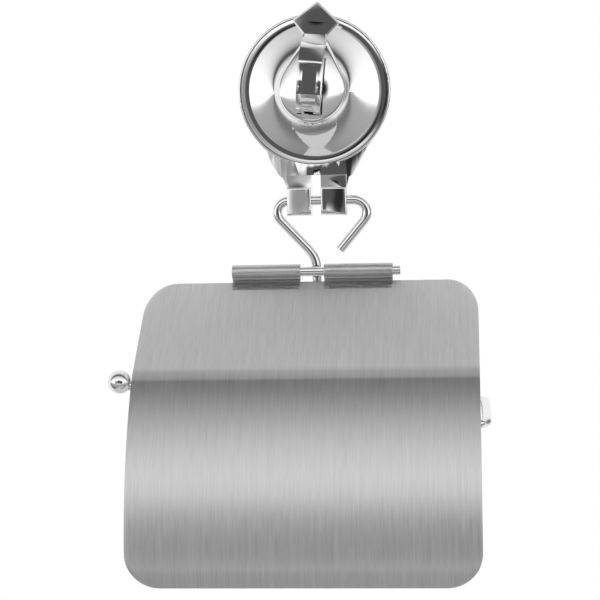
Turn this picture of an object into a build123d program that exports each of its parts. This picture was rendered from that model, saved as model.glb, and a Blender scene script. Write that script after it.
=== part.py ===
from build123d import *
import os
from math import asin, atan, cos, degrees, radians, sin, tan

# Suction-mounted toilet paper holder. Millimetres, +Z up.
# Origin: centre of the suction face, which lies in the wall plane Y = 0.
# +Y points into the wall, so everything stands on the -Y side.

# ---- suction cup ----
cup_r = 29.5            # outer radius of the sealing lip
cup_back = 2.6          # depth of the seat that the housing presses on
cup_lip = 0.9           # thickness of the lip at its edge
seal_inner_r = 20.0     # inner radius of the flat sealing ring
cup_draw = 1.9          # how far the middle is drawn off the wall when locked
cup_seat_r = 22.0       # inner radius of the housing's seat on the cup
cup_seat_outer_r = 27.5
cup_hub_r = 10.0
cup_hub_back = 5.0      # depth of the hub that holds the stem's foot
cup_web = 1.5           # rubber between the foot and the drawn middle

# ---- housing (bell-shaped, with a drop-shaped crowned hub) ----
rim_r = 30.1
rim_in = 26.7           # inner edge of the rim's flat band
rim_crown = 0.2         # how far the band bulges
rim_edge = 0.15         # how far the band's outer edge lies behind its inner edge
flange_back = 5.4
bead_depth = 7.2
flare_drop = 0.5        # slope of the flare where it leaves the rim
skirt_r = 26.6          # rear skirt that the collar turns on
skirt_wall = 1.8
hub_r = 14.0
hub_front = 24.0
hub_side = 17.5         # depth where the hub's side meets the flare
crown_along_r = 30.0    # radius of the hub's domed front, from top to bottom
crown_across_r = 20.0   # and from side to side
hub_round = 3.0
hub_wall = 2.0
hub_cavity_r = 10.5
ridge_z = 18.0          # centre of the ridge's narrow end, under the lever's arm
ridge_r = 5.2
lever_lean = 5.0        # degrees that housing and lever are turned clockwise
shelf_front = 10.8
shelf_back = 8.2
flare_wall = 2.0

# ---- locking lever ----
pin_r = 1.5
stroke = 2.0            # travel of the stem from locked to released
cam_r = 11.2
lever_width = 9.6
lever_gap = 0.3         # between the lever's sides and the slot
cam_gap = 0.1           # between the cam and the wear plate
panel_width = 5.6
panel_depth = 0.6
panel_top = 8.6
panel_bottom = -7.6
head_width = 19.4
head_front = 20.2
head_thick = 3.2
head_base = 20.8        # height of the head's lower edge
head_wide = 27.0        # height where the head is widest
head_tip = 35.2
head_base_width = 9.0
head_bevel = 0.9
head_corner = 1.1
arch_foot = -3.0        # height where the arch's flat front turns under
arch_lean = 0.8         # how far the arch's front leans back up to its corner
arch_corner = 10.0      # height of the arch's front corner
arch_knee = (28.6, 16.6)    # depth and height where the arch flattens to the head
arch_rounds = [1.8, 9.0]

# ---- stem and spring ----
stem_r = 3.6
tongue_thick = 3.4
tongue_half = 2.7
foot_r = 7.5
foot_thick = 0.8
tongue_gap = 0.15
stem_gap = 0.08
pin_gap = 0.05
foot_gap = 0.1
plate_thick = 1.2
plate_width = 9.8
plate_height = 17.0
spring_r = 5.4
spring_wire_r = 0.4
spring_turns = 2.2

# ---- collar with two lugs ----
collar_r = 31.3
collar_back = 3.0
collar_floor = 5.2      # front of the ring's floor, behind the housing's flange
collar_front = 7.6
collar_round = 0.9      # rounding of the ring's front outer edge
turn_gap = 0.1          # running clearance between collar and housing
neck_front = 8.0
neck_bow = 90.0         # radius of the neck's front, which bulges from side to side
lug_bow = 40.0          # the same for the lugs' fronts
neck_shoulder = 15.0    # half width where the neck steps in
neck_length = 3.3       # from the ring down to that step
pillar_half = 13.6
pillar_front = 9.8
pillar_height = 5.0
lug_height = 11.6
bore_drop = 5.4         # bore, below the lugs' tops
lug_front = 12.0
lug_back = 2.2
lug_round = 3.4
lug_edge = 0.8          # rounding all round the lugs' fronts
left_lug = (-11.8, -1.8)
right_lug = (2.2, 12.6)
snap_slot = 3.3         # width of the slot behind each bore
bore_gap = 0.06

# ---- bent wire ----
wire_r = 2.0
wire_depth = 7.0        # depth of the hook's plane
free_end = (9.5, -65.4)
right_corner = 26.8
left_corner = -22.3
upright_x = -0.4
upright_top = -68.3
kick_z = -84.0          # the upright leans back to the wall below this
upright_foot = -128.6
wall_gap = 0.3          # between the wire's rear run and the wall
arm_x = 68.0
bar_depth = 55.0
bar_z = -131.6
upturn_x = -30.0        # the bar turns up to the ball left of this
ball_x = -74.5
ball_z = -113.9
ball_r = 4.65
wire_bends = [5.3, 4.7, 12.0, 60.0, 8.0, 7.0, 7.0, 15.0]

# ---- hinge rod and weld ----
rod_r = 2.0
rod_z = -74.0
rod_left = -34.6
rod_right = 34.2
weld_r = 2.5
weld_thick = 2.4

# ---- cover ----
sheet = 1.0
cover_left = -69.5
cover_right = 65.5
knuckle_gap = 0.1
left_knuckle = (-34.8, -6.7)
right_knuckle = (3.0, 31.1)
knuckle_seam = 0.5
crease_out = 44.7       # crease, in front of the hinge axis
crease_drop = 37.5      # crease, below the hinge axis
front_arc_r = 115.0
front_slope = 40.0      # degrees from vertical just below the crease
cover_drop = 115.6      # lower edge, below the hinge axis
lip_height = 7.0
lip_turn = 7.0          # degrees that the lip turns back to the wall
top_edge_drop = 4.0
top_corner_r = 12.0
bottom_corner_r = 13.5

# ---- places that follow from the sizes above ----
cam_shift = stroke / 2                      # cam centre from the pin, along Y and along Z
plate_front = shelf_front + plate_thick
cam_y = -(plate_front + cam_gap + cam_r)
pin_depth = cam_shift - cam_y               # depth of the lever pin when locked
arch_front = cam_r - cam_y                  # the arch's front runs on from the cam's
slot_half = lever_width / 2 + lever_gap
slot_bottom = cam_shift - cam_r - 0.4
slot_top = cam_r + cam_shift + 0.5
foot_front = cup_draw + cup_web
neck_shoulder_z = -(collar_r + neck_length)
lug_top = neck_shoulder_z - pillar_height
lug_bottom = lug_top - lug_height
hook_z = lug_top - bore_drop                # height of the wire's run held by the lugs
rod_y = -(wire_depth + wire_r + rod_r)
rear_y = -(wall_gap + wire_r)
knuckle_in = rod_r + knuckle_gap
knuckle_out = knuckle_in + sheet


def turned(*edges):
    """A closed (radius, Y) outline turned about the Y axis."""
    return revolve(make_face(edges), axis=Axis.Y)


def front_prism(outline, front, back):
    """An (X, Z) outline between two depths behind the viewer's side."""
    return extrude(Plane.XZ.offset(back) * outline, amount=front - back)


def side_prism(outline, left, right):
    """A (Y, Z) outline between two X places."""
    return extrude(Plane.YZ.offset(left) * outline, amount=right - left)


def polygon(*points):
    return make_face(Polyline(*points, close=True))


def disc(radius, y, z, left, right):
    return side_prism(Pos(y, z) * Circle(radius), left, right)


def block(x_range, y_range, z_range):
    low = Vector(x_range[0], y_range[0], z_range[0])
    size = Vector(x_range[1], y_range[1], z_range[1]) - low
    return Pos(low) * Box(size.X, size.Y, size.Z, align=(Align.MIN, Align.MIN, Align.MIN))


def suction_cup():
    foot_back = foot_front + foot_thick
    dish_r = (seal_inner_r**2 + cup_draw**2) / (2 * cup_draw)
    dish = RadiusArc((seal_inner_r, 0), (0, -cup_draw), dish_r)
    back = Polyline(
        (0, -cup_draw),
        (0, -cup_hub_back),
        (cup_hub_r, -cup_hub_back),
        (cup_hub_r, -cup_back - 1.2),
        (cup_seat_r, -cup_back),
        (cup_seat_outer_r, -cup_back),
        (cup_r, -cup_lip),
        (cup_r, 0),
        (seal_inner_r, 0),
    )
    cup = turned(dish, *back.edges())
    pocket = turned(
        *Polyline(
            (0, -foot_front + foot_gap),
            (foot_r + foot_gap * 3, -foot_front + foot_gap),
            (foot_r + foot_gap * 3, -foot_back - foot_gap),
            (stem_r + foot_gap * 3, -foot_back - foot_gap),
            (stem_r + foot_gap * 3, -cup_hub_back - 1),
            (0, -cup_hub_back - 1),
            close=True,
        ).edges()
    )
    return cup - pocket


def drop_outline():
    """The hub's outline: a circle narrowing upwards to the lever's neck."""
    lean = asin((hub_r - ridge_r) / ridge_z)
    across, rise = cos(lean), sin(lean)
    low_left, low_right = (-hub_r * across, hub_r * rise), (hub_r * across, hub_r * rise)
    top_left = (-ridge_r * across, ridge_z + ridge_r * rise)
    top_right = (ridge_r * across, ridge_z + ridge_r * rise)
    return make_face([
        ThreePointArc(low_left, (0, -hub_r), low_right),
        Line(low_right, top_right),
        ThreePointArc(top_right, (0, ridge_z + ridge_r), top_left),
        Line(top_left, low_left),
    ])


def crown(inset):
    """The hub's domed front, as a barrel lying across it, moved in by inset."""
    across, along = crown_across_r - inset, crown_along_r - inset
    axis_y = crown_along_r - hub_front
    half = hub_r + 1
    front = axis_y - along
    edge = front + across - (across**2 - half**2) ** 0.5
    outline = make_face([
        ThreePointArc((-half, edge), (0, front), (half, edge)),
        *Polyline((half, edge), (half, axis_y), (-half, axis_y), (-half, edge)).edges(),
    ])
    return revolve(outline, axis=Axis((0, axis_y, 0), (1, 0, 0)))


def hub():
    shape = front_prism(drop_outline(), hub_front, bead_depth) & crown(0)
    rims = [edge for edge in shape.edges() if abs(edge.tangent_at(0.5).Y) < 0.9]
    return fillet([edge for edge in rims if edge.center().Y < -bead_depth - 0.1], hub_round)


def dome_housing():
    band_in = (rim_in, -bead_depth - rim_crown)
    band_out = (rim_r, -bead_depth - rim_crown + rim_edge)
    flare_top = (hub_r - 1.2, -hub_side)
    band_middle = ((rim_in + rim_r) / 2, -bead_depth - 2 * rim_crown + rim_edge / 2)
    shell = turned(
        *Polyline(
            (0, -hub_side), (0, -cup_back), (skirt_r, -cup_back), (skirt_r, -flange_back),
            (rim_r, -flange_back), band_out,
        ).edges(),
        ThreePointArc(band_out, band_middle, band_in),
        Spline(band_in, flare_top, tangents=((-1, -flare_drop), (-0.5, -1))),
        Line(flare_top, (0, -hub_side)),
    )
    cavity_r = skirt_r - skirt_wall
    skirt_cavity = turned(
        *Polyline(
            (0, 0), (0, -shelf_back), (hub_r + 2, -shelf_back),
            (cavity_r, -bead_depth + flare_wall), (cavity_r, 0),
            close=True,
        ).edges()
    )
    hub_cavity = front_prism(Circle(hub_cavity_r), 2 * hub_front, shelf_front)
    hub_cavity &= crown(hub_wall)
    guide = Rot(90, 0, 0) * Cylinder(stem_r + stem_gap, 2 * hub_front)
    slot = block(
        (-slot_half, slot_half), (-hub_front - 1, -shelf_front), (slot_bottom, slot_top)
    )
    return shell + hub() - skirt_cavity - hub_cavity - guide - slot


def wear_plate():
    plate = front_prism(Rectangle(plate_width, plate_height), plate_front, shelf_front)
    hole = Rectangle(tongue_thick + 2 * tongue_gap, 2 * (tongue_half + tongue_gap))
    return plate - front_prism(hole, plate_front + 1, shelf_front - 1)


def stem():
    shoulder = shelf_front - 0.2
    tongue = side_prism(
        Pos((-pin_depth - shoulder) / 2, 0) * Rectangle(pin_depth - shoulder, 2 * tongue_half),
        -tongue_thick / 2, tongue_thick / 2,
    )
    eye = disc(tongue_half, -pin_depth, 0, -tongue_thick / 2, tongue_thick / 2)
    post = front_prism(Circle(stem_r), shoulder, foot_front)
    foot = front_prism(Circle(foot_r), foot_front + foot_thick, foot_front)
    bore = disc(pin_r + pin_gap, -pin_depth, 0, -lever_width, lever_width)
    return tongue + eye + post + foot - bore


def return_spring():
    start = cup_hub_back + spring_wire_r
    rise = shelf_back - cup_hub_back - 2 * spring_wire_r
    coil = Helix(rise / spring_turns, rise, spring_r, center=(0, -start, 0), direction=(0, -1, 0))
    section = Plane(origin=coil @ 0, z_dir=coil % 0) * Circle(spring_wire_r)
    return sweep(section, path=coil, is_frenet=True)


def lever_pin():
    return disc(pin_r, -pin_depth, 0, -lever_width / 2, lever_width / 2)


def arm_outline():
    """Side view of the arch, from the cam over the hub's edge to the head."""
    head_back = head_front - head_thick
    clear = hub_front + 0.6
    under = 2 * atan((cam_shift - arch_foot) / cam_r)
    front = FilletPolyline(
        (-arch_front, arch_foot), (-arch_front + arch_lean, arch_corner),
        (-arch_knee[0], arch_knee[1]), (-head_front, head_base + 1.0),
        radius=arch_rounds,
    )
    rear = Polyline(
        (-head_front, head_base + 1.0), (-head_back, head_base + 1.0), (-head_back, head_base - 0.6),
        (-clear, 15.4), (-clear, slot_top - 0.4),
        (cam_y + cam_r * cos(radians(8)), cam_shift + cam_r * sin(radians(8))),
        (cam_y, cam_shift), (cam_y - cam_r * cos(under), cam_shift - cam_r * sin(under)),
        (-arch_front, arch_foot),
    )
    return make_face([*front.edges(), *rear.edges()])


def head_outline():
    half = head_width / 2
    base = head_base_width / 2
    shape = polygon(
        (-base, head_base), (base, head_base), (half, head_wide), (0, head_tip), (-half, head_wide)
    )
    return fillet(shape.vertices(), head_corner)


def lever():
    half = lever_width / 2
    cam = disc(cam_r, cam_y, cam_shift, -half, half)
    behind = block((-half, half), (cam_y, 0), (cam_shift + cam_r * sin(radians(8)), 2 * cam_r))
    above = block((-half, half), (-pin_depth - 1.3, 0), (slot_top - 0.4, 2 * cam_r))
    arm = side_prism(arm_outline(), -half, half)
    head = front_prism(head_outline(), head_front, head_front - head_thick)
    head = chamfer(head.faces().sort_by(Axis.Y)[0].edges(), head_bevel)
    slit_half = tongue_half + 2 * tongue_gap
    cheek = tongue_thick / 2 + tongue_gap
    far = 2 * cam_r
    slit = disc(slit_half, -pin_depth, 0, -cheek, cheek)
    slit += block((-cheek, cheek), (-pin_depth, -pin_depth + far), (-far, slit_half))
    slit += block((-cheek, cheek), (-pin_depth - slit_half, -pin_depth), (-far, 0))
    panel_half = panel_width / 2
    panel = disc(2 * cam_r, cam_y, cam_shift, -panel_half, panel_half)
    panel -= disc(cam_r - panel_depth, cam_y, cam_shift, -panel_half, panel_half)
    panel &= block((-half, half), (-2 * far, cam_y), (panel_bottom, arch_foot))
    floor = -arch_front + panel_depth
    rise = arch_lean * (panel_top - arch_foot) / (arch_corner - arch_foot)
    upper = polygon(
        (-2 * far, arch_foot), (floor, arch_foot), (floor + rise, panel_top), (-2 * far, panel_top)
    )
    panel += side_prism(upper, -panel_half, panel_half)
    bore = disc(pin_r, -pin_depth, 0, -lever_width, lever_width)
    return (cam - behind - above) + arm + head - slit - panel - bore


def bulge(radius, front):
    """An upright cylinder that limits a front face, foremost at x = 0."""
    return Pos(0, radius - front, 0) * Cylinder(radius, 4 * collar_r)


def lug(x_range, side_front, top):
    shape = polygon(
        (-side_front, top), (-lug_back, top), (-lug_back, lug_bottom), (-side_front, lug_bottom)
    )
    lower = shape.vertices().group_by(Axis.Y)[0]
    body = side_prism(fillet(lower, lug_round), *x_range) & bulge(lug_bow, side_front)
    return fillet(body.faces().sort_by(Axis.Y)[0].edges(), lug_edge)


def collar():
    rounding = collar_round
    ring = turned(
        *Polyline(
            (rim_r + turn_gap, -collar_front), (rim_r + turn_gap, -collar_floor),
            (skirt_r + turn_gap, -collar_floor), (skirt_r + turn_gap, -collar_back),
            (collar_r, -collar_back), (collar_r, -collar_front + rounding),
        ).edges(),
        RadiusArc((collar_r, -collar_front + rounding), (collar_r - rounding, -collar_front), rounding),
        Line((collar_r - rounding, -collar_front), (rim_r + turn_gap, -collar_front)),
    )
    tangent_x = collar_r * cos(radians(41))
    tangent_z = -collar_r * sin(radians(41))
    neck = polygon(
        (-tangent_x, tangent_z), (-neck_shoulder, neck_shoulder_z), (-pillar_half, neck_shoulder_z - 1),
        (left_lug[0], lug_top), (right_lug[1], lug_top), (pillar_half, neck_shoulder_z - 1),
        (neck_shoulder, neck_shoulder_z), (tangent_x, tangent_z),
    )
    plate = front_prism(neck, neck_front, collar_back) & bulge(neck_bow, neck_front)
    room = front_prism(Circle(rim_r + turn_gap), 2 * neck_front, collar_floor)
    hole = front_prism(Circle(skirt_r + turn_gap), 2 * neck_front, 0)
    window = block(
        (left_lug[1], right_lug[0]), (-2 * neck_front, 0), (lug_bottom, neck_shoulder_z)
    )
    body = plate - room - hole - window + ring
    for x_range in (left_lug, right_lug):
        body += lug(x_range, lug_front, lug_top)
        body += block(x_range, (-pillar_front, -collar_back), (lug_top, neck_shoulder_z))
    bores = disc(wire_r + bore_gap, -wire_depth, hook_z, left_lug[0] - 1, right_lug[1] + 1)
    snap = block(
        (left_lug[0] - 1, right_lug[1] + 1), (-wire_depth, 0),
        (hook_z - snap_slot / 2, hook_z + snap_slot / 2),
    )
    return body - bores - snap


def wire_path():
    return FilletPolyline(
        (free_end[0], -wire_depth, free_end[1]),
        (right_corner, -wire_depth, hook_z),
        (left_corner, -wire_depth, hook_z),
        (upright_x, -wire_depth, upright_top),
        (upright_x, -wire_depth, kick_z),
        (upright_x, rear_y, upright_foot),
        (arm_x, rear_y, upright_foot),
        (arm_x, -bar_depth, bar_z),
        (upturn_x, -bar_depth, bar_z),
        (ball_x, -bar_depth, ball_z),
        radius=wire_bends,
    )


def hanger_wire():
    path = wire_path()
    section = Plane(origin=path @ 0, z_dir=path % 0) * Circle(wire_r)
    return sweep(section, path=path)


def ball_end():
    """A ball turned about the wire's last run, with a blind hole for the wire."""
    mouth = -((ball_r**2 - wire_r**2) ** 0.5)
    half = make_face([
        ThreePointArc((wire_r, mouth), (ball_r, 0), (0, ball_r)),
        *Polyline((0, ball_r), (0, 0), (wire_r, 0), (wire_r, mouth)).edges(),
    ])
    ball = revolve(Plane.XZ * half, axis=Axis.Z)
    return Plane(origin=wire_path() @ 1, z_dir=wire_path() % 1) * ball


def hinge_rod():
    return disc(rod_r, rod_y, rod_z, rod_left, rod_right)


def weld_bead(wire, rod):
    middle = wire_depth + wire_r
    bead = Pos(upright_x, 0, rod_z) * front_prism(
        Circle(weld_r), middle + weld_thick / 2, middle - weld_thick / 2
    )
    return bead - wire - rod


def cover_profile():
    """Side view of the sheet, as (Y, Z) from the hinge axis."""
    length = (crease_out**2 + crease_drop**2) ** 0.5
    slope = radians(90) - asin(crease_drop / length) + asin(knuckle_in / length)
    down = Vector(-sin(slope), -cos(slope))
    start = Vector(-down.Y, down.X) * knuckle_in
    crease = Vector(-crease_out, -crease_drop)
    first = radians(front_slope)
    lip_top = cover_drop - lip_height
    last = asin(sin(first) - (lip_top - crease_drop) / front_arc_r)
    middle = (first + last) / 2
    centre = crease + Vector(cos(first), -sin(first)) * front_arc_r
    halfway = centre + Vector(-cos(middle), sin(middle)) * front_arc_r
    arc_end = centre + Vector(-cos(last), sin(last)) * front_arc_r
    lip_y = arc_end.X + lip_height * tan(radians(lip_turn))
    outer = [
        Line(start, crease),
        ThreePointArc(crease, halfway, arc_end),
        Line(arc_end, (lip_y, -cover_drop)),
    ]
    return outer, start, down


def cover():
    outer, start, down = cover_profile()
    band = offset(Wire(outer), amount=sheet, side=Side.LEFT)
    middle = (cover_left + cover_right) / 2
    width = cover_right - cover_left
    skin = side_prism(make_face(band.edges()), cover_left, cover_right)
    height = cover_drop - top_edge_drop
    shape = Pos(middle, -top_edge_drop - height / 2) * Rectangle(width, height)
    shape = fillet(shape.vertices().group_by(Axis.Y)[-1], top_corner_r)
    shape = fillet(shape.vertices().group_by(Axis.Y)[0], bottom_corner_r)
    panel = skin & front_prism(shape, 2 * cover_drop, -knuckle_out)
    tilt = -degrees(asin(-down.Y))
    seam = Pos(start.X, start.Y) * Rot(0, 0, tilt) * Rectangle(
        2 * knuckle_out, knuckle_seam, align=(Align.MAX, Align.MIN)
    )
    curl = Circle(knuckle_out) - Circle(knuckle_in) - seam
    for x_range in (left_knuckle, right_knuckle):
        panel += side_prism(curl, *x_range)
        panel += skin & block(x_range, (-3 * knuckle_out, knuckle_out), (-3 * knuckle_out, 0))
    return Pos(0, rod_y, rod_z) * panel


def main():
    wire = hanger_wire()
    rod = hinge_rod()
    lean = Rot(0, lever_lean, 0)
    nodes = {
        "suction_cup": suction_cup(),
        "dome_housing": lean * dome_housing(),
        "wear_plate": lean * wear_plate(),
        "return_spring": return_spring(),
        "stem": lean * stem(),
        "lever": lean * lever(),
        "lever_pin": lean * lever_pin(),
        "collar": collar(),
        "hanger_wire": wire,
        "ball_end": ball_end(),
        "hinge_rod": rod,
        "weld_bead": weld_bead(wire, rod),
        "cover": cover(),
    }
    os.makedirs("parts", exist_ok=True)
    for name, shape in nodes.items():
        export_step(shape, f"parts/{name}.step")
        print(name, round(shape.volume, 1), [round(v, 2) for v in shape.bounding_box().size])


main()
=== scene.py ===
import bpy
import bmesh
from math import asin, cos, pi, radians, sin, sqrt, tan
from mathutils import Matrix, Vector


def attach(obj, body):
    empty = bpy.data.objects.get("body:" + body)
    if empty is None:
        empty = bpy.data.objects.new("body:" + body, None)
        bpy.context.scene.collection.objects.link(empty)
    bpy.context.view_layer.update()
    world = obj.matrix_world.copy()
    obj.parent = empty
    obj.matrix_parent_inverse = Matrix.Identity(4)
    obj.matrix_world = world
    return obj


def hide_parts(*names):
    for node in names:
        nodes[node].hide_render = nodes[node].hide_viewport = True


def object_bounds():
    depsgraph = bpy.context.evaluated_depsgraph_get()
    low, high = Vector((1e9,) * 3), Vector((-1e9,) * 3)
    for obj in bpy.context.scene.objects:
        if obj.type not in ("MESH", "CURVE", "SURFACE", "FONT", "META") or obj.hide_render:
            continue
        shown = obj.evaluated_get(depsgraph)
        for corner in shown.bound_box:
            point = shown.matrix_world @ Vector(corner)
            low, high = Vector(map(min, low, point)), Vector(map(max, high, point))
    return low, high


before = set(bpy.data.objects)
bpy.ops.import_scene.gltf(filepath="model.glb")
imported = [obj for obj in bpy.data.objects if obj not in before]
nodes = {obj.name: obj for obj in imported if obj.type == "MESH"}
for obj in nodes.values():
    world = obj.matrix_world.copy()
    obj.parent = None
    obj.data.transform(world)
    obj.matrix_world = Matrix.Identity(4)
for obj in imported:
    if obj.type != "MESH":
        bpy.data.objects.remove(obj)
cadLow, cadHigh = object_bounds()
mm = 0.001


def say(text):
    print("[holder]", text)


cameraSet = {
    "aim": Vector((-0.0082, 0.0, -0.0863)),
    "distance": 0.75,
    "yaw": radians(5.22),      # the camera stands to the right
    "pitch": radians(3.52),    # and looks slightly down
    "roll": radians(-1.19),
    "lens": 108.0,
}


def makeCamera(c):
    level = cos(c["pitch"])
    forward = Vector((-sin(c["yaw"]) * level, cos(c["yaw"]) * level, -sin(c["pitch"])))
    right = Vector((cos(c["yaw"]), sin(c["yaw"]), 0.0))
    up = right.cross(forward)
    turn = Matrix.Rotation(-c["roll"], 3, forward)
    right, up = turn @ right, turn @ up
    data = bpy.data.cameras.new("holderCamera")
    data.lens = c["lens"]
    data.sensor_width = 36.0
    data.clip_start, data.clip_end = 0.01, 20.0
    cam = bpy.data.objects.new("holderCamera", data)
    bpy.context.scene.collection.objects.link(cam)
    axes = Matrix((right, up, -forward)).transposed().to_4x4()
    cam.matrix_world = Matrix.Translation(c["aim"] - forward * c["distance"]) @ axes
    bpy.context.scene.camera = cam
    say("camera ready")


studioSet = {
    # light by degrees round the left-right axis: 0 level in front, 90 overhead, 180 level behind
    "heights": [
        (-180, 0.95), (-100, 0.85), (-84, 0.35), (-62, 0.20), (-42, 0.38), (-25, 0.44),
        (-14, 0.90), (-6, 1.25), (5, 1.25), (30, 1.12), (46, 0.88), (58, 0.60),
        (67, 0.28), (76, 0.09), (83, 0.35), (92, 0.60), (125, 0.95), (180, 0.95),
    ],
    "brightest": 1.4,      # no light above goes past this
    # (direction, full within, gone beyond, light), later ones over earlier ones
    "patches": [
        ((0.90, 0.45, 0.05), 8, 34, 0.25),      # grey wall behind on the right
        ((-0.40, -1.0, 0.0), 4, 22, 0.32),      # grey on the camera's left
        ((0.40, -1.0, 0.02), 6, 20, 0.025),     # dark flag on the camera's right
        ((0.06, -1.0, 0.10), 11, 19, 0.095),    # camera side of the room
        ((-0.02, -1.0, -0.03), 2.5, 5.0, 0.0),  # the camera itself
    ],
    "floorDrop": 0.10,     # floor below the object's lowest point
    "floorSize": 0.20,
}


def linkNodes(tree, pairs):
    for source, target in pairs:
        tree.links.new(source, target)


def softMask(tree, direction, inner, outer):
    coord = tree.nodes.new("ShaderNodeTexCoord")
    dot = tree.nodes.new("ShaderNodeVectorMath")
    dot.operation = "DOT_PRODUCT"
    dot.inputs[1].default_value = Vector(direction).normalized()
    ramp = tree.nodes.new("ShaderNodeMapRange")
    ramp.interpolation_type = "SMOOTHSTEP"
    ramp.inputs["From Min"].default_value = cos(radians(outer))
    ramp.inputs["From Max"].default_value = cos(radians(inner))
    linkNodes(tree, [
        (coord.outputs["Generated"], dot.inputs[0]),
        (dot.outputs["Value"], ramp.inputs["Value"]),
    ])
    return ramp.outputs["Result"]


def heightLight(tree, stops, brightest):
    coord = tree.nodes.new("ShaderNodeTexCoord")
    parts = tree.nodes.new("ShaderNodeSeparateXYZ")
    front = tree.nodes.new("ShaderNodeMath")
    front.operation = "MULTIPLY"
    front.inputs[1].default_value = -1.0
    angle = tree.nodes.new("ShaderNodeMath")
    angle.operation = "ARCTAN2"
    unit = tree.nodes.new("ShaderNodeMapRange")
    unit.inputs["From Min"].default_value = -pi
    unit.inputs["From Max"].default_value = pi
    ramp = tree.nodes.new("ShaderNodeFloatCurve")
    curve = ramp.mapping.curves[0]
    points = [((deg + 180) / 360, light / brightest) for deg, light in stops]
    curve.points[0].location = points[0]
    curve.points[1].location = points[-1]
    for x, y in points[1:-1]:
        curve.points.new(x, y)
    for p in curve.points:
        p.handle_type = "AUTO_CLAMPED"
    ramp.mapping.update()
    gain = tree.nodes.new("ShaderNodeMath")
    gain.operation = "MULTIPLY"
    gain.inputs[1].default_value = brightest
    linkNodes(tree, [
        (coord.outputs["Generated"], parts.inputs[0]),
        (parts.outputs["Y"], front.inputs[0]),
        (parts.outputs["Z"], angle.inputs[0]),
        (front.outputs[0], angle.inputs[1]),
        (angle.outputs[0], unit.inputs["Value"]),
        (unit.outputs["Result"], ramp.inputs["Value"]),
        (ramp.outputs["Value"], gain.inputs[0]),
    ])
    return gain.outputs[0]


def patch(tree, tone, mask, light):
    mix = tree.nodes.new("ShaderNodeMix")
    mix.data_type = "FLOAT"
    mix.inputs[3].default_value = light
    linkNodes(tree, [(mask, mix.inputs[0]), (tone, mix.inputs[2])])
    return mix.outputs[0]


def makeWorld(s):
    world = bpy.data.worlds.new("studioTent")
    world.use_nodes = True
    bpy.context.scene.world = world
    tree = world.node_tree
    tree.nodes.clear()
    tone = heightLight(tree, s["heights"], s["brightest"])
    for direction, inner, outer, light in s["patches"]:
        tone = patch(tree, tone, softMask(tree, direction, inner, outer), light)
    tent = tree.nodes.new("ShaderNodeBackground")
    plain = tree.nodes.new("ShaderNodeBackground")
    pick = tree.nodes.new("ShaderNodeMixShader")
    path = tree.nodes.new("ShaderNodeLightPath")
    out = tree.nodes.new("ShaderNodeOutputWorld")
    plain.inputs["Color"].default_value = (1.0, 1.0, 1.0, 1.0)
    linkNodes(tree, [
        (tone, tent.inputs["Color"]),
        (path.outputs["Is Camera Ray"], pick.inputs["Fac"]),
        (tent.outputs["Background"], pick.inputs[1]),
        (plain.outputs["Background"], pick.inputs[2]),
        (pick.outputs["Shader"], out.inputs["Surface"]),
    ])


def makeStudio(s):
    makeWorld(s)
    bm = bmesh.new()
    bmesh.ops.create_circle(bm, cap_ends=True, segments=64, radius=s["floorSize"])
    mesh = bpy.data.meshes.new("studioFloor")
    bm.to_mesh(mesh)
    bm.free()
    floor = bpy.data.objects.new("studioFloor", mesh)
    floor.location = (0, cadLow.y / 2, cadLow.z - s["floorDrop"])
    bpy.context.scene.collection.objects.link(floor)
    paint = bpy.data.materials.new("floorPaint")
    paint.use_nodes = True
    shader = paint.node_tree.nodes["Principled BSDF"]
    shader.inputs["Base Color"].default_value = (0.9, 0.9, 0.9, 1)
    shader.inputs["Roughness"].default_value = 0.9
    mesh.materials.append(paint)
    bpy.context.scene.view_settings.view_transform = "Standard"
    say("studio ready")


def newGroup(name, inputs, outputs):
    group = bpy.data.node_groups.new(name, "ShaderNodeTree")
    for label, kind, value in inputs:
        socket = group.interface.new_socket(label, in_out="INPUT", socket_type=kind)
        socket.default_value = value
    for label, kind in outputs:
        group.interface.new_socket(label, in_out="OUTPUT", socket_type=kind)
    return group, group.nodes.new("NodeGroupInput"), group.nodes.new("NodeGroupOutput")


def noiseNode(tree, scale, detail, rough=0.5):
    noise = tree.nodes.new("ShaderNodeTexNoise")
    noise.inputs["Scale"].default_value = scale
    noise.inputs["Detail"].default_value = detail
    noise.inputs["Roughness"].default_value = rough
    return noise


def span(tree, value, low, high, toLow, toHigh):
    node = tree.nodes.new("ShaderNodeMapRange")
    node.inputs["From Min"].default_value = low
    node.inputs["From Max"].default_value = high
    tree.links.new(value, node.inputs["Value"])
    for key, end in (("To Min", toLow), ("To Max", toHigh)):
        if hasattr(end, "is_output"):
            tree.links.new(end, node.inputs[key])
        else:
            node.inputs[key].default_value = end
    return node.outputs["Result"]


# soft patches of handling marks on a polished surface
def smudgeGroup():
    group, into, out = newGroup(
        "polishSmudge",
        [("Clean Roughness", "NodeSocketFloat", 0.03), ("Smudged Roughness", "NodeSocketFloat", 0.09),
         ("Ripple", "NodeSocketFloat", 0.02)],
        [("Roughness", "NodeSocketFloat"), ("Height", "NodeSocketFloat")],
    )
    coord = group.nodes.new("ShaderNodeTexCoord")
    marks = noiseNode(group, 95.0, 3.0)
    waves = noiseNode(group, 160.0, 1.0)
    height = group.nodes.new("ShaderNodeMath")
    height.operation = "MULTIPLY"
    linkNodes(group, [
        (coord.outputs["Object"], marks.inputs["Vector"]),
        (coord.outputs["Object"], waves.inputs["Vector"]),
        (waves.outputs["Fac"], height.inputs[0]),
        (into.outputs["Ripple"], height.inputs[1]),
        (height.outputs[0], out.inputs["Height"]),
    ])
    clean, handled = into.outputs["Clean Roughness"], into.outputs["Smudged Roughness"]
    rough = span(group, marks.outputs["Fac"], 0.45, 0.72, clean, handled)
    group.links.new(rough, out.inputs["Roughness"])
    return group


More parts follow.
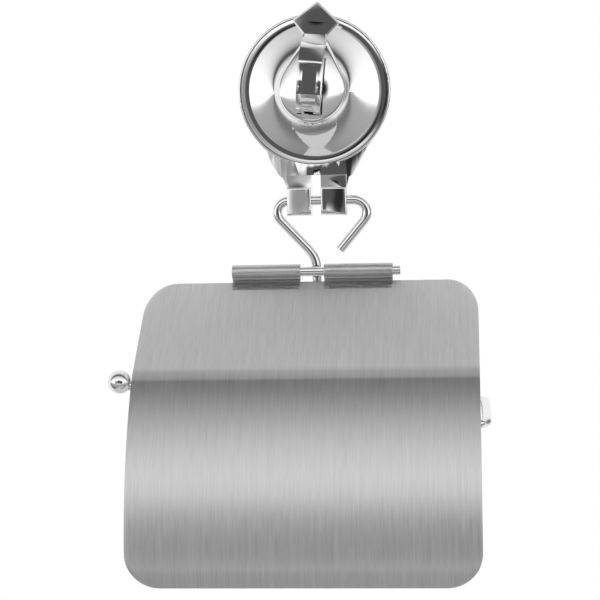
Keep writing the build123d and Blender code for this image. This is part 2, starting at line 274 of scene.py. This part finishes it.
# fine scratches that run along the pattern's second coordinate
def grainGroup():
    group, into, out = newGroup(
        "brushedGrain",
        [("Place", "NodeSocketVector", (0, 0, 0)), ("Dark", "NodeSocketColor", (0.5, 0.5, 0.5, 1)),
         ("Light", "NodeSocketColor", (0.8, 0.8, 0.8, 1)), ("Smooth", "NodeSocketFloat", 0.25),
         ("Rough", "NodeSocketFloat", 0.4)],
        [("Color", "NodeSocketColor"), ("Roughness", "NodeSocketFloat"), ("Height", "NodeSocketFloat")],
    )
    fineMap = group.nodes.new("ShaderNodeMapping")
    fineMap.inputs["Scale"].default_value = (2600.0, 90.0, 1.0)
    broadMap = group.nodes.new("ShaderNodeMapping")
    broadMap.inputs["Scale"].default_value = (760.0, 26.0, 1.0)
    fine = noiseNode(group, 1.0, 3.0, 0.6)
    broad = noiseNode(group, 1.0, 2.0)
    both = group.nodes.new("ShaderNodeMix")
    both.data_type = "FLOAT"
    both.inputs[0].default_value = 0.35
    tint = group.nodes.new("ShaderNodeMix")
    tint.data_type = "RGBA"
    linkNodes(group, [
        (into.outputs["Place"], fineMap.inputs["Vector"]),
        (into.outputs["Place"], broadMap.inputs["Vector"]),
        (fineMap.outputs["Vector"], fine.inputs["Vector"]),
        (broadMap.outputs["Vector"], broad.inputs["Vector"]),
        (fine.outputs["Fac"], both.inputs[2]),
        (broad.outputs["Fac"], both.inputs[3]),
        (into.outputs["Dark"], tint.inputs["A"]),
        (into.outputs["Light"], tint.inputs["B"]),
        (tint.outputs["Result"], out.inputs["Color"]),
        (both.outputs[0], out.inputs["Height"]),
    ])
    group.links.new(span(group, both.outputs[0], 0.3, 0.7, 0.0, 1.0), tint.inputs["Factor"])
    rough = span(group, both.outputs[0], 0.3, 0.7, into.outputs["Smooth"], into.outputs["Rough"])
    group.links.new(rough, out.inputs["Roughness"])
    return group


def newMaterial(name, metal, colour, rough):
    mat = bpy.data.materials.new(name)
    mat.use_nodes = True
    shader = mat.node_tree.nodes["Principled BSDF"]
    shader.inputs["Base Color"].default_value = (*colour, 1)
    shader.inputs["Metallic"].default_value = metal
    shader.inputs["Roughness"].default_value = rough
    return mat, mat.node_tree, shader


def bumpFrom(tree, shader, height, strength, distance):
    bump = tree.nodes.new("ShaderNodeBump")
    bump.inputs["Strength"].default_value = strength
    bump.inputs["Distance"].default_value = distance
    linkNodes(tree, [(height, bump.inputs["Height"]), (bump.outputs["Normal"], shader.inputs["Normal"])])


def smudged(tree, shader, group, clean, handled):
    use = tree.nodes.new("ShaderNodeGroup")
    use.node_tree = group
    use.inputs["Clean Roughness"].default_value = clean
    use.inputs["Smudged Roughness"].default_value = handled
    tree.links.new(use.outputs["Roughness"], shader.inputs["Roughness"])
    return use


def polishedMetal(name, group, colour, clean, handled, ripple):
    mat, tree, shader = newMaterial(name, 1.0, colour, clean)
    use = smudged(tree, shader, group, clean, handled)
    use.inputs["Ripple"].default_value = ripple
    bumpFrom(tree, shader, use.outputs["Height"], strength=0.25, distance=0.0002)
    return mat


def brushedMetal(name, group, dark, light, smooth, rough, lean, turned):
    mat, tree, shader = newMaterial(name, 1.0, light, rough)
    use = tree.nodes.new("ShaderNodeGroup")
    use.node_tree = group
    use.inputs["Dark"].default_value = (*dark, 1)
    use.inputs["Light"].default_value = (*light, 1)
    use.inputs["Smooth"].default_value = smooth
    use.inputs["Rough"].default_value = rough
    coord = tree.nodes.new("ShaderNodeTexCoord")
    turn = tree.nodes.new("ShaderNodeMapping")
    turn.inputs["Rotation"].default_value = (0, 0, pi / 2 if turned else 0)
    grain = tree.nodes.new("ShaderNodeTangent")
    grain.direction_type = "UV_MAP"
    grain.uv_map = "grain"
    shader.inputs["Anisotropic"].default_value = lean
    shader.inputs["Anisotropic Rotation"].default_value = 0.25 if turned else 0.0
    linkNodes(tree, [
        (coord.outputs["UV"], turn.inputs["Vector"]),
        (turn.outputs["Vector"], use.inputs["Place"]),
        (use.outputs["Color"], shader.inputs["Base Color"]),
        (use.outputs["Roughness"], shader.inputs["Roughness"]),
        (grain.outputs["Tangent"], shader.inputs["Tangent"]),
    ])
    bumpFrom(tree, shader, use.outputs["Height"], strength=0.16, distance=0.00006)
    return mat


def speckled(name, colour, other, rough, scale, grainBump):
    mat, tree, shader = newMaterial(name, 0.0, colour, rough)
    coord = tree.nodes.new("ShaderNodeTexCoord")
    noise = noiseNode(tree, scale, 4.0)
    tint = tree.nodes.new("ShaderNodeMix")
    tint.data_type = "RGBA"
    tint.inputs["A"].default_value = (*colour, 1)
    tint.inputs["B"].default_value = (*other, 1)
    linkNodes(tree, [
        (coord.outputs["Object"], noise.inputs["Vector"]),
        (noise.outputs["Fac"], tint.inputs["Factor"]),
        (tint.outputs["Result"], shader.inputs["Base Color"]),
    ])
    bumpFrom(tree, shader, noise.outputs["Fac"], strength=grainBump, distance=0.0002)
    return mat


def steelMaterial(group):
    mat, tree, shader = newMaterial("turnedSteel", 1.0, (0.62, 0.62, 0.63), 0.3)
    smudged(tree, shader, group, clean=0.24, handled=0.42)
    return mat


def addMesh(name, bm, body, mat, replaced):
    mesh = bpy.data.meshes.new(name)
    bm.to_mesh(mesh)
    bm.free()
    obj = bpy.data.objects.new(name, mesh)
    bpy.context.scene.collection.objects.link(obj)
    mesh.materials.append(mat)
    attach(obj, body)
    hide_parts(replaced)
    return obj


# a grid of vertices, where place(row, column) gives a position and its UV
def gridSheet(rows, columns, place):
    bm = bmesh.new()
    layer = bm.loops.layers.uv.new("grain")
    bmesh.ops.create_grid(bm, x_segments=columns, y_segments=rows, size=1.0)
    spots = {}
    for v in bm.verts:
        column = round((v.co.x + 1) / 2 * columns)
        row = round((v.co.y + 1) / 2 * rows)
        v.co, spots[v] = place(row, column)
    for f in bm.faces:
        for loop in f.loops:
            loop[layer].uv = spots[loop.vert]
    return bm


# gives a sheet its thickness and rounds its cut edge
def finishSheet(bm, c):
    bm.normal_update()
    if sum(f.normal.y for f in bm.faces) > 0:
        bmesh.ops.reverse_faces(bm, faces=bm.faces)
    bmesh.ops.solidify(bm, geom=bm.faces[:], thickness=c["thick"] * mm)
    bmesh.ops.recalc_face_normals(bm, faces=bm.faces)
    bm.normal_update()
    sharp = [e for e in bm.edges if len(e.link_faces) == 2 and e.calc_face_angle() > c["edgeAngle"]]
    bmesh.ops.bevel(
        bm, geom=sharp, affect="EDGES", offset=c["edge"] * mm, segments=2, profile=0.5, material=-1,
        clamp_overlap=True,
    )


def smoothPiece(obj):
    for p in obj.data.polygons:
        p.use_smooth = True


coverSet = {
    "axis": (-11.0, -74.0),        # hinge axis, Y and Z in mm
    "left": -69.5, "right": 65.5,
    "thick": 1.0,
    "inner": 2.1,                  # knuckle's inner radius
    "crease": (-44.7, -37.5),      # from the hinge axis
    "creaseRound": 1.6,
    "arcRadius": 115.0,
    "frontSlope": radians(40),
    "drop": 115.6, "topDrop": 4.0,
    "lip": 7.0, "lipTurn": radians(7), "lipRound": 5.0,
    "topCorner": 12.0, "bottomCorner": 13.5,
    "knuckles": ((-34.8, -6.7), (3.0, 31.1)),
    "seam": 0.5,
    "edge": 0.22,                  # rounding of the sheet's cut edge
    "edgeAngle": radians(60),
    "lap": 3.0,                    # how far down the panel the knuckles' strips begin
    "columns": 60, "knuckleColumns": 12,
    "slopeSteps": 40, "arcSteps": 90, "lipSteps": 12, "curlSteps": 48,
    "roundReach": 1.6, "roundPasses": 14,
}


# points (Y, Z) of the sheet's front face, from beside the hinge down to the lip
def coverPath(c):
    out, drop = -c["crease"][0], -c["crease"][1]
    length = sqrt(out**2 + drop**2)
    slope = pi / 2 - asin(drop / length) + asin(c["inner"] / length)
    down = Vector((-sin(slope), -cos(slope)))
    start = Vector((-down.y, down.x)) * c["inner"]
    crease = Vector(c["crease"])
    first = c["frontSlope"]
    lipTop = c["drop"] - c["lip"]
    last = asin(sin(first) - (lipTop - drop) / c["arcRadius"])
    centre = crease + Vector((cos(first), -sin(first))) * c["arcRadius"]

    def arc(a):
        return centre + Vector((-cos(a), sin(a))) * c["arcRadius"]

    slopes, arcs, lips = c["slopeSteps"], c["arcSteps"], c["lipSteps"]
    end = Vector((arc(last).x + c["lip"] * tan(c["lipTurn"]), -c["drop"]))
    raw = [start + (crease - start) * t / slopes for t in range(slopes + 1)]
    raw += [arc(first + (last - first) * t / arcs) for t in range(1, arcs + 1)]
    raw += [arc(last) + (end - arc(last)) * t / lips for t in range(1, lips + 1)]
    path = [Vector(p) for p in raw]
    for bend, reach in ((crease, c["creaseRound"]), (arc(last), c["lipRound"])):
        near = [i for i, p in enumerate(raw) if (p - bend).length < reach * c["roundReach"]]
        for _ in range(c["roundPasses"]):
            for i in near:
                if 0 < i < len(path) - 1:
                    path[i] = (path[i - 1] + path[i] * 2 + path[i + 1]) / 4
    return path, start, down


# position and run length where the path has come down by drop
def atDrop(path, drop):
    run = 0.0
    for a, b in zip(path, path[1:]):
        if -b.y >= drop - 1e-9:
            t = max(0.0, min(1.0, (drop + a.y) / (a.y - b.y)))
            return a + (b - a) * t, run + (b - a).length * t
        run += (b - a).length
    return path[-1], run


def cornerInset(drop, c):
    fromTop = drop - c["topDrop"]
    fromEnd = c["drop"] - drop
    inset = 0.0
    for away, r in ((fromTop, c["topCorner"]), (fromEnd, c["bottomCorner"])):
        if away < r:
            inset = max(inset, r - sqrt(max(0.0, r * r - (r - away) ** 2)))
    return inset


def makeCover(c, mat):
    path, start, down = coverPath(c)
    bends = [1 - cos(radians(a)) for a in range(0, 91, 6)]
    drops = [c["topDrop"] + c["topCorner"] * b for b in bends]
    drops += [c["drop"] - c["bottomCorner"] * b for b in bends]
    topEnd, bottomStart = c["topDrop"] + c["topCorner"], c["drop"] - c["bottomCorner"]
    drops += [-p.y for p in path if topEnd < -p.y < bottomStart]
    drops = sorted(set(round(d, 4) for d in drops))
    columns = c["columns"]
    spots = [atDrop(path, d) for d in drops]

    def panelPlace(row, column):
        p, run = spots[row]
        inset = cornerInset(drops[row], c)
        left, right = c["left"] + inset, c["right"] - inset
        x = left + (right - left) * column / columns
        y, z = p.x + c["axis"][0], p.y + c["axis"][1]
        return Vector((x, y, z)) * mm, (x * mm, run * mm)

    bm = gridSheet(len(drops) - 1, columns, panelPlace)
    finishSheet(bm, c)
    piece = addMesh("coverPanel", bm, "cover", mat[0], "cover")
    smoothPiece(piece)

    # knuckles: up from the panel's top edge, then round the rod
    strip = [atDrop(path, c["topDrop"] + c["lap"] - c["lap"] * t / 4)[0] for t in range(5)]
    strip += [atDrop(path, c["topDrop"] - (c["topDrop"] + start.y) * t / 4)[0] for t in range(1, 4)]
    facing = start.normalized()
    gap = c["seam"] / c["inner"]
    turns = c["curlSteps"]
    curl = []
    for i in range(turns + 1):
        a = (2 * pi - gap) * i / turns
        across = facing.x * cos(a) - facing.y * sin(a)
        upward = facing.x * sin(a) + facing.y * cos(a)
        curl.append(Vector((across, upward)) * c["inner"])
    line = strip + curl
    runs = [0.0]
    for a, b in zip(line, line[1:]):
        runs.append(runs[-1] + (b - a).length)
    knuckleColumns = c["knuckleColumns"]
    for index, (left, right) in enumerate(c["knuckles"]):

        def knucklePlace(row, column):
            p = line[row]
            x = left + (right - left) * column / knuckleColumns
            y, z = p.x + c["axis"][0], p.y + c["axis"][1]
            return Vector((x, y, z)) * mm, (x * mm, runs[row] * mm)

        bm = gridSheet(len(line) - 1, knuckleColumns, knucklePlace)
        finishSheet(bm, c)
        piece = addMesh(f"coverKnuckle{index + 1}", bm, "cover", mat[1], "cover")
        smoothPiece(piece)
    say("cover ready")


# castings, with every edge softened as polishing does
castingSet = {
    "merge": 0.002,             # points closer than this, in mm, become one
    "flat": radians(0.4),       # faces closer to level than this are joined
    "sharp": radians(32),       # edges steeper than this are rounded
}
leverSet = {"node": "lever", "body": "lever", "slot": "lever_chrome", "round": 0.55, "steps": 4}
collarSet = {"node": "collar", "body": "collar", "slot": "collar_chrome", "round": 0.30, "steps": 3}


def makeCasting(c, mat):
    source = nodes[c["node"]]
    bm = bmesh.new()
    bm.from_mesh(source.data)
    bmesh.ops.transform(bm, matrix=source.matrix_world, verts=bm.verts)
    bmesh.ops.remove_doubles(bm, verts=bm.verts, dist=castingSet["merge"] * mm)
    bmesh.ops.dissolve_limit(bm, angle_limit=castingSet["flat"], verts=bm.verts, edges=bm.edges)
    bmesh.ops.recalc_face_normals(bm, faces=bm.faces)
    piece = addMesh(c["node"] + "Casting", bm, c["body"], mat, c["node"])
    smoothPiece(piece)
    edge = piece.modifiers.new("softEdge", "BEVEL")
    edge.width = c["round"] * mm
    edge.segments = c["steps"]
    edge.limit_method = "ANGLE"
    edge.angle_limit = castingSet["sharp"]
    edge.harden_normals = True
    say(c["node"] + " casting ready")


makeCamera(cameraSet)
makeStudio(studioSet)

smudge = smudgeGroup()
grain = grainGroup()
# each metal has its colour, its clean and handled roughness, and its ripple
finishes = {
    "dome_chrome": polishedMetal("domeChrome", smudge, (0.90, 0.90, 0.905), 0.035, 0.07, 0.01),
    "lever_chrome": polishedMetal("leverChrome", smudge, (0.88, 0.88, 0.885), 0.035, 0.08, 0.01),
    "collar_chrome": polishedMetal("collarChrome", smudge, (0.88, 0.88, 0.885), 0.045, 0.09, 0.04),
    "wire_chrome": polishedMetal("wireChrome", smudge, (0.84, 0.84, 0.845), 0.06, 0.12, 0.02),
    "plain_steel": steelMaterial(smudge),
    "stem_plastic": speckled("stemPlastic", (0.78, 0.78, 0.76), (0.70, 0.70, 0.68), 0.45, 400.0, 0.1),
    "cup_rubber": speckled("cupRubber", (0.55, 0.57, 0.58), (0.48, 0.50, 0.51), 0.4, 250.0, 0.08),
}
panelBrush = brushedMetal(
    "coverBrushed", grain, dark=(0.56, 0.56, 0.56), light=(0.74, 0.74, 0.74),
    smooth=0.38, rough=0.47, lean=0.88, turned=False,
)
knuckleBrush = brushedMetal(
    "knuckleBrushed", grain, dark=(0.50, 0.50, 0.50), light=(0.72, 0.72, 0.72),
    smooth=0.24, rough=0.34, lean=0.7, turned=True,
)
finishes["brushed_cover"] = panelBrush
say("materials ready")

for node in nodes.values():
    for s in node.material_slots:
        key = next((k for k in finishes if s.material and s.material.name.startswith(k)), "wire_chrome")
        s.material = finishes[key]

makeCover(coverSet, (panelBrush, knuckleBrush))
makeCasting(leverSet, finishes["lever_chrome"])
makeCasting(collarSet, finishes["collar_chrome"])
